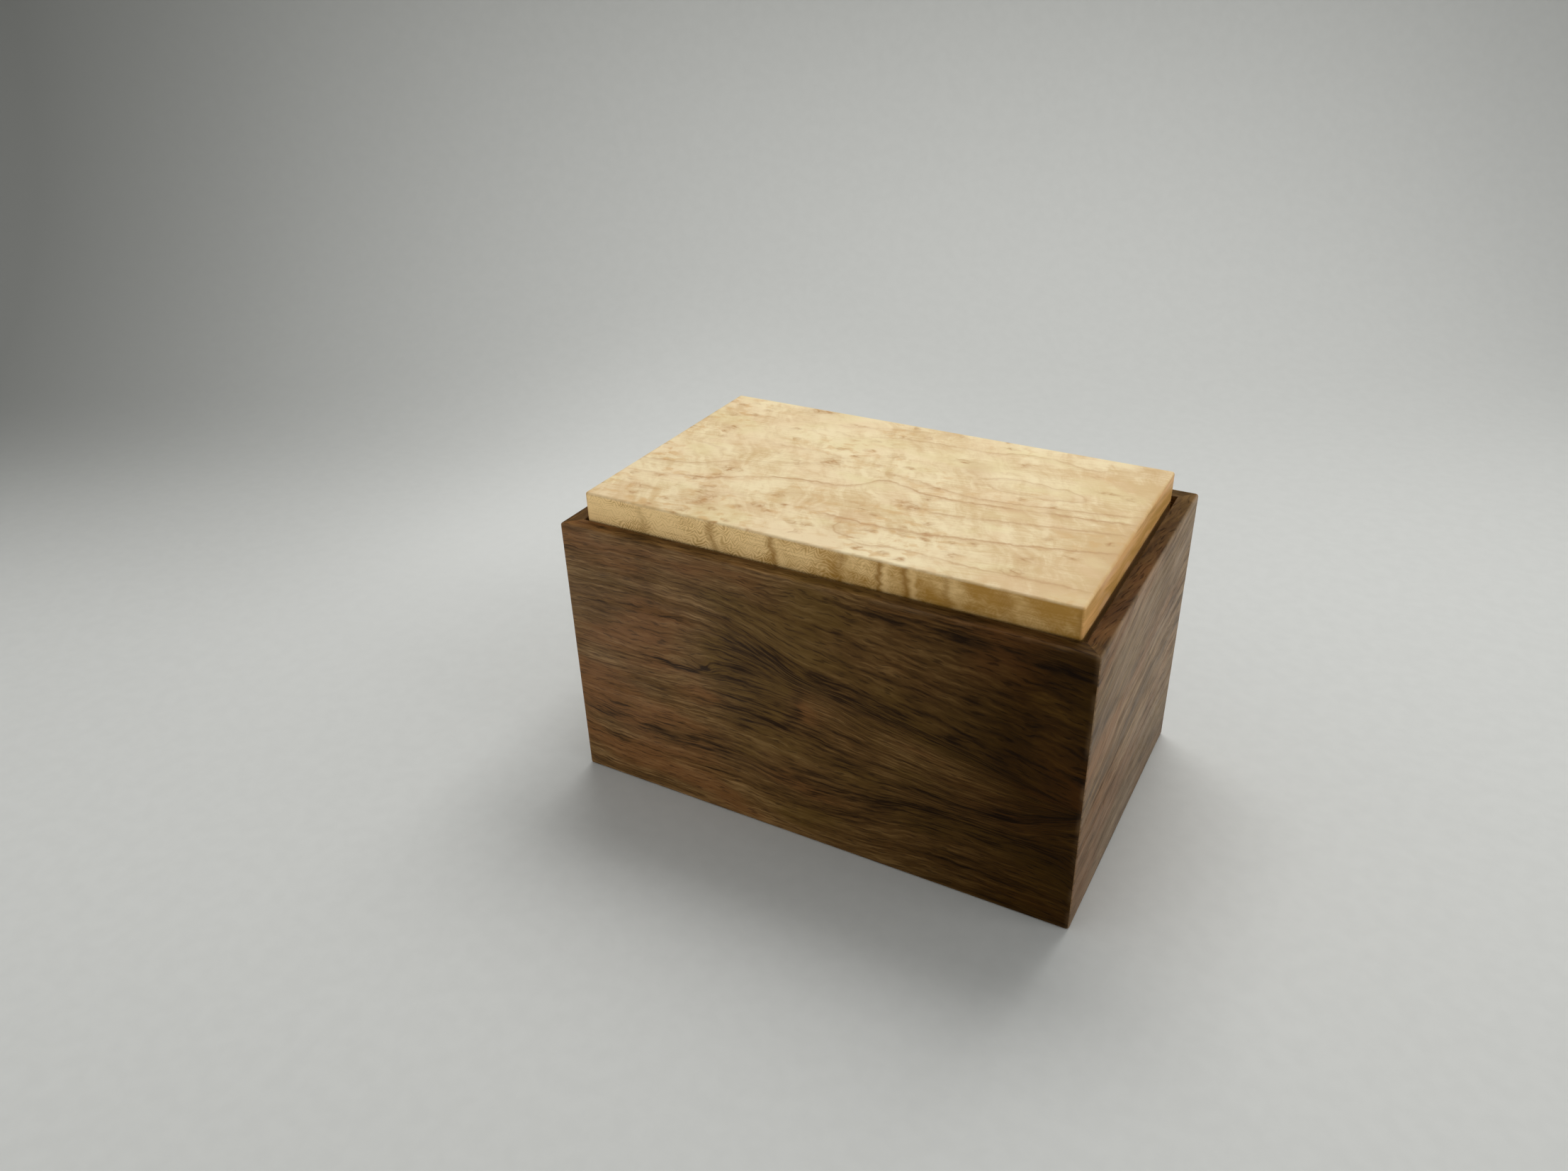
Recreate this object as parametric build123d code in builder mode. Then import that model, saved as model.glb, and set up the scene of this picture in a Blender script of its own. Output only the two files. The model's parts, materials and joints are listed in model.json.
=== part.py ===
"""Wooden puzzle box: a mitred walnut carcass with a loose maple lid, locked by four gravity bolts.

Each bolt lies in a bore in the core board under the lid, parked on a small magnet while the box stands
level. Tipping the box slides a bolt out into its strike bush in the liner, which locks the lid.

Frame: millimetres, +Z up, +X to the right, +Y to the back. The origin is the middle of the base.
"""

import os

from build123d import *

# Carcass
box_length = 150.0
box_width = 94.0
box_height = 82.0
wall = 4.8
edge_round = 0.8
rim_round = 0.3

# Bottom panel, held in a groove round the walls
bottom_thickness = 5.0
bottom_recess = 3.0
groove_share = 0.5
groove_clearance = 0.05

# Hidden splines across the mitres, sized by the wall and stopped short of the rim
spline_thickness = 1.5
spline_width_share = 0.75
spline_inside_share = 0.5
spline_stop = 10.0
spline_foot = 1.5
glue_line = 0.05

# Liners that carry the lid
liner = 5.0
liner_fit = 0.1
liner_chamfer = 0.5

# Lid panel, with the gap that shows on each side of it
lid_thickness = 12.7
lid_proud = 8.1
lid_gap_left = 0.7
lid_gap_right = 1.2
lid_gap_front = 0.6
lid_gap_back = 1.6
lid_round = 0.8
lid_under_chamfer = 0.3

# Core board under the lid panel
core_thickness = 12.0
core_clearance = 0.8
core_lead_in = 1.0

# Gravity bolts: a nose that runs in a brass guide, and a heavier tail that the guide stops
bolt_nose_radius = 2.5
bolt_tail_radius = 3.2
bolt_tip = 0.8
bolt_running = 0.1
bolt_stop_clearance = 0.1
bore_web = 14.4
guide_share = 0.3
guide_wall = 1.9
magnet_thickness = 3.0
magnet_gap = 0.1

# Strike bushes in the liners
strike_wall = 0.8
strike_float = 1.0

# Screws that hold the core to the lid panel
screw_radius = 1.5
screw_head_radius = 3.0
screw_head_height = 1.7
screw_bite_share = 0.6
screw_from_end = 14.0
screw_from_side = 11.0
screw_fit = 0.05

# Places and sizes that follow
bottom_top = bottom_recess + bottom_thickness
groove_depth = groove_share * wall
spline_width = spline_width_share * wall
spline_from_inside = spline_inside_share * wall
spline_low = bottom_top + spline_foot
spline_height = box_height - spline_stop - spline_low
seat_height = box_height - (lid_thickness - lid_proud)
core_bottom = seat_height - core_thickness
bolt_height = seat_height - core_thickness / 2
opening_length = box_length - 2 * wall
opening_width = box_width - 2 * wall
lid_length = opening_length - lid_gap_left - lid_gap_right
lid_width = opening_width - lid_gap_front - lid_gap_back
lid_x = (lid_gap_left - lid_gap_right) / 2
lid_y = (lid_gap_front - lid_gap_back) / 2
liner_length = opening_length - 2 * liner_fit
liner_width = opening_width - 2 * liner_fit
core_length = liner_length - 2 * liner - 2 * core_clearance
core_width = liner_width - 2 * liner - 2 * core_clearance
bore_depth = (core_width - bore_web) / 2
bolt_length = bore_depth - magnet_thickness - magnet_gap
bolt_travel = liner
guide_length = guide_share * bolt_length
nose_length = guide_length + bolt_travel + bolt_stop_clearance
guide_radius = bolt_nose_radius + bolt_running
bore_radius = bolt_tail_radius + bolt_running
strike_radius = bolt_nose_radius + strike_float
screw_length = core_thickness + screw_bite_share * lid_thickness

# Each side's turn about +Z, its run along the wall and its reach across the box
sides = {
    "front": (0, box_length, box_width),
    "right": (90, box_width, box_length),
    "back": (180, box_length, box_width),
    "left": (270, box_width, box_length),
}


def side_plane(turn, height=0.0, x=0.0, y=0.0):
    """A level plane whose local -Y faces out of the side with this turn."""
    along = Vector(1, 0, 0).rotate(Axis.Z, turn)
    return Plane(origin=(x, y, height), x_dir=along, z_dir=(0, 0, 1))


def outward_plane(turn, reach, height, x=0.0, y=0.0):
    """A plane on a side's face, reach / 2 out from (x, y), with its normal pointing out of the box."""
    level = side_plane(turn, height, x, y)
    return Plane(origin=level.from_local_coords((0, -reach / 2, 0)), x_dir=level.x_dir, z_dir=-level.y_dir)


def mitred_outline(run, reach, thickness):
    """The corners of a board along one side, in plan, with 45 degree mitres at both ends."""
    outer = -reach / 2
    inner = outer + thickness
    return [
        (-run / 2, outer),
        (run / 2, outer),
        (run / 2 - thickness, inner),
        (-run / 2 + thickness, inner),
    ]


# Outer form of the carcass, with every arris eased
with BuildPart() as envelope:
    Box(box_length, box_width, box_height, align=(Align.CENTER, Align.CENTER, Align.MIN))
    fillet(envelope.edges(), edge_round)


def corner_planes(height):
    """A level plane at each corner's spline, with local X across the mitre."""
    along_mitre = spline_from_inside / 2**0.5
    for x_sign, y_sign in ((1, -1), (1, 1), (-1, 1), (-1, -1)):
        x = x_sign * (opening_length / 2 + along_mitre)
        y = y_sign * (opening_width / 2 + along_mitre)
        yield Plane(origin=(x, y, height), x_dir=(1, -x_sign * y_sign, 0), z_dir=(0, 0, 1))


def make_wall(turn, run, reach):
    """One mitred wall with its bottom groove, its spline slots and eased arrises."""
    inner = -reach / 2 + wall
    with BuildPart() as board:
        with BuildSketch(side_plane(turn)):
            Polygon(*mitred_outline(run, reach, wall), align=None)
        extrude(amount=box_height)
        inner_rim = (
            board.faces().sort_by(Axis.Z)[-1].edges().sort_by_distance((0, 0, box_height))[0]
        )
        fillet(inner_rim, rim_round)
        with BuildSketch(side_plane(turn, bottom_recess - groove_clearance)):
            with Locations((0, inner - groove_depth)):
                Rectangle(run, groove_depth, align=(Align.CENTER, Align.MIN))
        extrude(amount=bottom_thickness + 2 * groove_clearance, mode=Mode.SUBTRACT)
        with BuildSketch(*corner_planes(spline_low - glue_line)):
            Rectangle(spline_width + 2 * glue_line, spline_thickness + 2 * glue_line)
        extrude(amount=spline_height + 2 * glue_line, mode=Mode.SUBTRACT)
        add(envelope.part, mode=Mode.INTERSECT)
    return board


def make_liner(turn, run, reach):
    """One mitred liner that stands on the bottom panel, with the hole for its strike bush."""
    inset = 2 * (wall + liner_fit)
    with BuildPart() as board:
        with BuildSketch(side_plane(turn, bottom_top)):
            Polygon(*mitred_outline(run - inset, reach - inset, liner), align=None)
        extrude(amount=seat_height - bottom_top)
        inner_top = (
            board.faces().sort_by(Axis.Z)[-1].edges().sort_by_distance((0, 0, seat_height))[0]
        )
        chamfer(inner_top, liner_chamfer)
        with BuildSketch(outward_plane(turn, reach, bolt_height)):
            Circle(strike_radius + strike_wall)
        extrude(amount=-reach / 2, mode=Mode.SUBTRACT)
    return board


walls = {}
liners = {}
for side, (turn, run, reach) in sides.items():
    walls[side] = make_wall(turn, run, reach)
    walls[side].part.label = f"{side}_wall"
    liners[side] = make_liner(turn, run, reach)
    liners[side].part.label = f"{side}_liner"

# Four stopped splines, one across each mitre
with BuildPart() as corner_splines:
    with BuildSketch(*corner_planes(spline_low)):
        Rectangle(spline_width, spline_thickness)
    extrude(amount=spline_height)
corner_splines.part.label = "corner_splines"

# Bottom panel, with its edges in the grooves
panel_overlap = 2 * (groove_depth - groove_clearance)
with BuildPart() as bottom_panel:
    with BuildSketch(Plane.XY.offset(bottom_recess)):
        Rectangle(opening_length + panel_overlap, opening_width + panel_overlap)
    extrude(amount=bottom_thickness)
bottom_panel.part.label = "bottom_panel"

# Brass strike bushes, flush with both faces of the liners
with BuildPart() as strike_bushes:
    for turn, _, reach in sides.values():
        with BuildSketch(outward_plane(turn, reach - 2 * (wall + liner_fit), bolt_height)):
            Circle(strike_radius + strike_wall - glue_line)
            Circle(strike_radius, mode=Mode.SUBTRACT)
        extrude(amount=-liner)
strike_bushes.part.label = "strike_bushes"

# The core screws stand in from the corners of the core
screw_spots = [
    (lid_x + x_sign * (core_length / 2 - screw_from_end), lid_y + y_sign * (core_width / 2 - screw_from_side))
    for x_sign in (-1, 1)
    for y_sign in (-1, 1)
]
lid_seat = Plane(origin=(lid_x, lid_y, seat_height), z_dir=(0, 0, 1))

# Maple lid panel, with pilot holes for the core screws
with BuildPart() as lid_panel:
    with BuildSketch(lid_seat):
        Rectangle(lid_length, lid_width)
    extrude(amount=lid_thickness)
    chamfer(lid_panel.faces().sort_by(Axis.Z)[0].edges(), lid_under_chamfer)
    fillet(lid_panel.edges().filter_by(Axis.Z), lid_round)
    fillet(lid_panel.faces().sort_by(Axis.Z)[-1].edges(), lid_round)
    with BuildSketch(Plane.XY.offset(seat_height)):
        with Locations(*screw_spots):
            Circle(screw_radius + screw_fit)
    extrude(amount=screw_length - core_thickness + screw_fit, mode=Mode.SUBTRACT)
lid_panel.part.label = "lid_panel"


def core_edge_planes(inset=0.0):
    """For each side of the core, a plane at the bolt's height, inset from its edge, looking out."""
    for turn, size in ((0, core_width), (90, core_length), (180, core_width), (270, core_length)):
        yield outward_plane(turn, size - 2 * inset, bolt_height, lid_x, lid_y)


# Walnut core board: bores for the bolts, seats for their guides, and countersunk screw holes
with BuildPart() as lid_core:
    with BuildSketch(lid_seat):
        Rectangle(core_length, core_width)
    extrude(amount=-core_thickness)
    chamfer(lid_core.faces().sort_by(Axis.Z)[0].edges(), core_lead_in)
    for edge_face in core_edge_planes():
        with BuildSketch(edge_face):
            Circle(bore_radius)
        extrude(amount=-bore_depth, mode=Mode.SUBTRACT)
        with BuildSketch(edge_face):
            Circle(guide_radius + guide_wall)
        extrude(amount=-guide_length, mode=Mode.SUBTRACT)
    with BuildSketch(Plane.XY.offset(core_bottom)):
        with Locations(*screw_spots):
            Circle(screw_radius + screw_fit)
    extrude(amount=core_thickness, mode=Mode.SUBTRACT)
    with Locations(*[(x, y, core_bottom) for x, y in screw_spots]):
        Cone(
            screw_head_radius + screw_fit,
            screw_radius + screw_fit,
            screw_head_height,
            align=(Align.CENTER, Align.CENTER, Align.MIN),
            mode=Mode.SUBTRACT,
        )
lid_core.part.label = "lid_core"

# Brass guides at the mouths of the bores, which the bolts' tails can't pass
with BuildPart() as bolt_guides:
    for edge_face in core_edge_planes():
        with BuildSketch(edge_face):
            Circle(guide_radius + guide_wall - glue_line)
            Circle(guide_radius, mode=Mode.SUBTRACT)
        extrude(amount=-guide_length)
bolt_guides.part.label = "bolt_guides"

# Disc magnets glued into the blind ends of the bores
with BuildPart() as parking_magnets:
    for magnet_face in core_edge_planes(bolt_length + magnet_gap):
        with BuildSketch(magnet_face):
            Circle(bolt_tail_radius)
        extrude(amount=-magnet_thickness)
parking_magnets.part.label = "parking_magnets"

# Countersunk screws driven up through the core into the lid panel
with BuildPart() as core_screws:
    for x, y in screw_spots:
        with BuildSketch(Plane.XZ.offset(-y)):
            with BuildLine():
                Polyline(
                    (x, core_bottom),
                    (x + screw_head_radius, core_bottom),
                    (x + screw_radius, core_bottom + screw_head_height),
                    (x + screw_radius, core_bottom + screw_length),
                    (x, core_bottom + screw_length),
                    close=True,
                )
            make_face()
        revolve(axis=Axis((x, y, 0), (0, 0, 1)))
core_screws.part.label = "core_screws"


def make_bolt(edge_face):
    """A turned steel bolt lying in its bore, with its tip flush with the core's edge."""
    profile = Plane(origin=edge_face.origin, x_dir=edge_face.x_dir, z_dir=edge_face.y_dir)
    with BuildPart() as bolt:
        with BuildSketch(profile):
            with BuildLine():
                Polyline(
                    (0, 0),
                    (bolt_nose_radius - bolt_tip, 0),
                    (bolt_nose_radius, bolt_tip),
                    (bolt_nose_radius, nose_length),
                    (bolt_tail_radius, nose_length),
                    (bolt_tail_radius, bolt_length),
                    (0, bolt_length),
                    close=True,
                )
            make_face()
        revolve(axis=Axis(edge_face.origin, edge_face.z_dir))
    return bolt


bolts = {}
for side, edge_face in zip(sides, core_edge_planes()):
    bolts[side] = make_bolt(edge_face)
    bolts[side].part.label = f"{side}_bolt"

# One STEP file for each named piece
os.makedirs("parts", exist_ok=True)
pieces = [
    *walls.values(),
    *liners.values(),
    corner_splines,
    bottom_panel,
    strike_bushes,
    lid_panel,
    lid_core,
    bolt_guides,
    parking_magnets,
    core_screws,
    *bolts.values(),
]
for piece in pieces:
    export_step(piece.part, f"parts/{piece.part.label}.step")
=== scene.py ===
import json
import math

import bmesh
import bpy
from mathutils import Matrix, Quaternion, Vector

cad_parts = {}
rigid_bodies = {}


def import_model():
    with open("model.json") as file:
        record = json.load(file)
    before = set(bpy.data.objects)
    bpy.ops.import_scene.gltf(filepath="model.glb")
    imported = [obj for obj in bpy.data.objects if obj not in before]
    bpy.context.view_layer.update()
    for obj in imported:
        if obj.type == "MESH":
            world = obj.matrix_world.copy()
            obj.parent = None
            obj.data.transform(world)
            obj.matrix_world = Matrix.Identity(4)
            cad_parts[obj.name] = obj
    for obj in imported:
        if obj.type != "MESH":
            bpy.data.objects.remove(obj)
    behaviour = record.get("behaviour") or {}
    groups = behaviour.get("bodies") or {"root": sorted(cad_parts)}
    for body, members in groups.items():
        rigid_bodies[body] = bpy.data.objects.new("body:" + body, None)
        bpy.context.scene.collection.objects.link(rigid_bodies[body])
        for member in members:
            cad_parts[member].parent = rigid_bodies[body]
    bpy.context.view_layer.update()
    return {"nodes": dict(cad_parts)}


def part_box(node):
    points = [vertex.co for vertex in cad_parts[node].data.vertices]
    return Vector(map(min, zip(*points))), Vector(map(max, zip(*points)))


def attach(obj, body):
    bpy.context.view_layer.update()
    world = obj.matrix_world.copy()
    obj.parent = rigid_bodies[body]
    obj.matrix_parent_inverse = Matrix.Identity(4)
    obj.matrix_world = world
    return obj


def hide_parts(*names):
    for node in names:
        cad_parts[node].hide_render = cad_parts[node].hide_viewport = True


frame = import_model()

nodes = frame["nodes"]
mm = 0.001
print("frame loaded,", len(nodes), "nodes")

leastGap = 0.8  # mm between two lines of the grain, where they would meet
plainNoise = (2.0, 0.5)  # detail and roughness of a noise that names none
wearRange = (-0.3, 0.3)  # of the noise that breaks up the wear on edges


# a socket that can be used in plain sums
class Wire:
    def __init__(self, graph, socket):
        self.graph = graph
        self.socket = socket

    def sum(self, operation, *others, swap=False):
        parts = [self, *others]
        if swap:
            parts.reverse()
        return self.graph.add("ShaderNodeMath", {"operation": operation}, dict(enumerate(parts)))

    def __add__(self, other):
        return self.sum("ADD", other)

    def __sub__(self, other):
        return self.sum("SUBTRACT", other)

    def __rsub__(self, other):
        return self.sum("SUBTRACT", other, swap=True)

    def __mul__(self, other):
        return self.sum("MULTIPLY", other)

    def __truediv__(self, other):
        return self.sum("DIVIDE", other)

    def __rpow__(self, other):
        return self.sum("POWER", other, swap=True)

    def __neg__(self):
        return self.sum("MULTIPLY", -1.0)

    def __abs__(self):
        return self.sum("ABSOLUTE")

    __radd__ = __add__
    __rmul__ = __mul__


# a net of nodes: add() makes a node and gives back one of its outputs
class Net:
    def add(self, kind, settings=None, sockets=None, out=0):
        node = self.tree.nodes.new(kind)
        for key, value in (settings or {}).items():
            if key == "points":  # a float curve's own points
                node.mapping.extend = "HORIZONTAL"
                line = node.mapping.curves[0].points
                line[0].location, line[1].location = value[0], value[-1]
                for place in value[1:-1]:
                    line.new(*place)
                node.mapping.update()
            else:
                setattr(node, key, value)
        for key, value in (sockets or {}).items():
            socket = node.inputs[key]
            for part in value if isinstance(value, list) else [value]:
                if isinstance(part, Wire):
                    self.tree.links.new(part.socket, socket)
                elif socket.type == "RGBA":
                    socket.default_value = (*part, 1.0)
                else:
                    socket.default_value = part
        return Wire(self, node.outputs[out]) if node.outputs else None


# one material's nodes, with the dictionary and seed that they work from
class Graph(Net):
    def __init__(self, name, own, seed=0.0):
        self.own = own
        self.seed = seed
        self.material = bpy.data.materials.new(name)
        self.material.use_nodes = True
        self.tree = self.material.node_tree
        self.tree.nodes.clear()

    # where a point of the piece is, in millimetres
    def place(self):
        spot = self.add("ShaderNodeTexCoord", out="Object")
        spot = self.add("ShaderNodeVectorMath", {"operation": "SCALE"}, {"Vector": spot, "Scale": 1 / mm})
        return {axis: self.add("ShaderNodeSeparateXYZ", None, {"Vector": spot}, axis.upper()) for axis in "xyz"}

    def join(self, x, y, z=0.0):
        return self.add("ShaderNodeCombineXYZ", None, {"X": x, "Y": y, "Z": z})

    def stretch(self, spot, scale, shift=(0.0, 0.0, 0.0)):
        return self.add("ShaderNodeVectorMath", {"operation": "MULTIPLY_ADD"}, {0: spot, 1: scale, 2: shift})

    # noise about 0, mostly from -0.5 to 0.5
    def noise(self, spot, key):
        row = self.own["noises"][key]
        scale, shift, detail, rough = (*row, *plainNoise[len(row) - 2:])
        shift = shift + self.seed
        spot = self.stretch(spot, scale, (shift, 1.7 * shift, 2.3 * shift))
        sockets = {"Vector": spot, "Scale": 1.0, "Detail": detail, "Roughness": rough}
        return self.add("ShaderNodeTexNoise", None, sockets).sum("MULTIPLY_ADD", 2.0, -1.0)

    def step(self, value, low, high, start=0.0, end=1.0):
        sockets = {"Value": value, "From Min": low, "From Max": high, "To Min": start, "To Max": end}
        return self.add("ShaderNodeMapRange", {"interpolation_type": "SMOOTHSTEP"}, sockets)

    # a step over one of the dictionary's ranges
    def fade(self, value, key):
        return self.step(value, *self.own[key])

    # patterns added up, each by its share in the dictionary
    def total(self, key, **parts):
        shares = self.own[key]
        total = shares.get("start", 0.0)
        for name, part in parts.items():
            total = total + shares[name] * part
        return total

    # distance from a middle, 1 on the oval itself
    def oval(self, spot, centre, reach):
        scale = (1 / reach[0], 1 / reach[1], 0.0)
        share = self.stretch(spot, scale, (-centre[0] * scale[0], -centre[1] * scale[1], 0.0))
        return self.add("ShaderNodeVectorMath", {"operation": "LENGTH"}, {0: share}, "Value")

    # 1 in the middle of a line, falling off on both sides
    def ridge(self, value, width):
        share = value if width == 1.0 else value * (1 / width)
        return (1 / math.e) ** (share * share)

    # soft hills, each with its middle, reach and strength
    def hills(self, spot, places):
        total = 0.0
        for centre, reach, strength in places:
            total = self.ridge(self.oval(spot, centre, reach), 1.0).sum("MULTIPLY_ADD", strength, total)
        return total

    # how far above a smooth line through some points
    def above(self, x, y, points):
        places, heights = zip(*points)
        start, low = places[0], min(heights)
        wide, tall = places[-1] - start, max(heights) - low or 1.0
        shares = [((place - start) / wide, (height - low) / tall) for place, height in points]
        share = x.sum("MULTIPLY_ADD", 1 / wide, -start / wide)
        line = self.add("ShaderNodeFloatCurve", {"points": shares}, {"Value": share})
        return line.sum("MULTIPLY_ADD", -tall, y - low)

    # a height that keeps its value along each of some lines, given from the lowest up
    def layers(self, x, y, span, levels):
        flat = [(height, [(-1, height), (1, height)]) for height in span]
        levels = [flat[0], *levels, flat[1]]
        overs = [self.above(x, y, points) for value, points in levels]
        total = levels[0][0]
        for index in range(len(levels) - 1):
            gap = (overs[index] - overs[index + 1]).sum("MAXIMUM", leastGap)
            sockets = {0: overs[index], 1: gap}
            share = self.add("ShaderNodeMath", {"operation": "DIVIDE", "use_clamp": True}, sockets)
            total = share.sum("MULTIPLY_ADD", levels[index + 1][0] - levels[index][0], total)
        return total

    def mix(self, amount, first, second, blend="MIX"):
        settings = {"data_type": "RGBA", "blend_type": blend}
        return self.add("ShaderNodeMix", settings, {0: amount, 6: first, 7: second}, 2)

    # wear on the edges of a piece's box, broken up by a noise, and the colour with it
    def wear(self, spot, nodeName, uneven, colour):
        near = []
        for axis, low, high in zip("xyz", *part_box(nodeName)):
            half = (high - low) / 2 / mm
            near.append(self.step(abs(spot[axis] - (low / mm + half)), half - self.own["wearReach"], half))
        amount = near[0] * near[1] + near[1] * near[2] + near[2] * near[0]
        amount = amount * self.step(uneven, *wearRange)
        return amount, self.mix(amount * self.own["wear"], colour, self.own["worn"])

    def finish(self, colour, rough, height=None):
        sockets = {"Base Color": colour, "Roughness": rough, **self.own["fixed"]}
        if height is not None:
            bump = {"Height": height, "Distance": self.own["bumpDepth"] * mm}
            sockets["Normal"] = self.add("ShaderNodeBump", None, bump)
        surface = self.add("ShaderNodeBsdfPrincipled", None, sockets)
        self.add("ShaderNodeOutputMaterial", None, {"Surface": surface})
        return self.material


def paint(nodeName, material):
    for slot in nodes[nodeName].material_slots:
        slot.material = material


def newObject(name, data):
    made = bpy.data.objects.new(name, data)
    bpy.context.scene.collection.objects.link(made)
    return made


# walnut: colours, finish and figure of all boards
walnut = {
    "dark": (0.024, 0.0104, 0.0028),
    "middle": (0.128, 0.064, 0.0175),
    "light": (0.29, 0.168, 0.062),
    "red": (0.205, 0.08, 0.023),
    "olive": (0.125, 0.072, 0.012),
    "worn": (0.25, 0.16, 0.085),
    # the colour that the painted shade multiplies by
    "shade": (0.26, 0.215, 0.08),
    "rough": {"start": 0.48, "fibre": 0.1, "pores": 0.16, "wear": 0.08},
    "fixed": {"Specular IOR Level": 0.05},
    "bumpDepth": 0.05,  # mm
    "noises": {  # scale per mm, seed, and detail and roughness where they differ
        "drift": ((0.014, 0.022, 0.02), 0.0),
        "ripple": ((0.17, 0.3, 0.2), 1.0),
        "curl": ((0.025, 0.05, 0.05), 2.0, 1.0),
        "broad": ((0.006, 0.085, 0.0), 0.0),
        "streak": ((0.011, 0.4, 0.05), 3.0, 3.0, 0.6),
        "fibre": ((0.095, 1.25, 0.0), 4.0, 3.0, 0.65),
        "warm": ((0.022, 0.07, 0.0), 5.0, 3.0),
        "rings": ((0.004, 0.17, 0.0), 6.0, 1.0),
        "pores": ((0.22, 2.4, 0.0), 7.0, 1.0),
        "blotch": ((0.05, 0.09, 0.0), 8.0),
        "wear": ((0.12, 0.12, 0.12), 9.0),
    },
    # the grain: how it climbs into the board, swells round a knot (reach, height) and curls
    "climb": 0.7, "swell": ((5.0, 3.0), 2.0), "curlRange": (-0.2, 0.4, 0.3, 1.0),
    # lightness of the wood and what each pattern adds to it
    "tone": {"start": 0.57, "broad": 0.26, "streak": 0.44, "fibre": 0.8, "blotch": 0.22, "rings": -0.1},
    "ringWidth": 0.06, "poreRange": (0.14, 0.4), "poreDark": 0.56,
    # redness: strength of its noise, and from the middle to the left
    "warmNoise": 1.3, "warmAlong": (0.0, -45.0, -0.14, 0.03),
    # dark bands: unevenness, and strength and width of the soft sides
    "bandUneven": {"blotch": 3.2, "streak": 1.6}, "bandSoft": 0.6, "bandSpread": 2.8,
    # tongues: unevenness, and where the end, the lower side, the line round it and the inside lie
    "tongueUneven": {"blotch": 0.2, "streak": 0.06}, "tongueEnd": (-0.6, 0.2), "tongueLow": (0.6, -0.2),
    "tongueLine": 0.98, "tongueWidth": 0.09, "tongueInside": (1.1, 0.75), "tongueOlive": 4.0,
    # where each colour comes in, by lightness and redness
    "darkRange": (0.0, 0.6), "lightRange": (0.48, 1.1), "litRange": (0.1, 0.6),
    "redRange": (-0.1, 0.4, 0.0, 0.6), "oliveRange": (-0.1, -0.5, 0.0, 0.5),
    # depths in mm over which the rim's painted shade and the face's painted sheen come in, and their unevenness
    "rimDepths": (0.5, 0.1), "rimBlotch": 2.0,
    "hazeDepths": (0.7, 0.1), "hazeUneven": {"start": 1.0, "streak": 1.3, "fibre": 0.5, "blotch": 0.8},
    "wear": 0.22, "wearReach": 1.3,
    "bump": {"pores": -1.0, "fibre": -0.3},
}

throughout = (-100, -90, 100, 90)  # fade of a band that runs from end to end
plainBoard = {"span": (-8, 94), "knots": [], "hues": [], "tongues": [], "wash": None}

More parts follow.
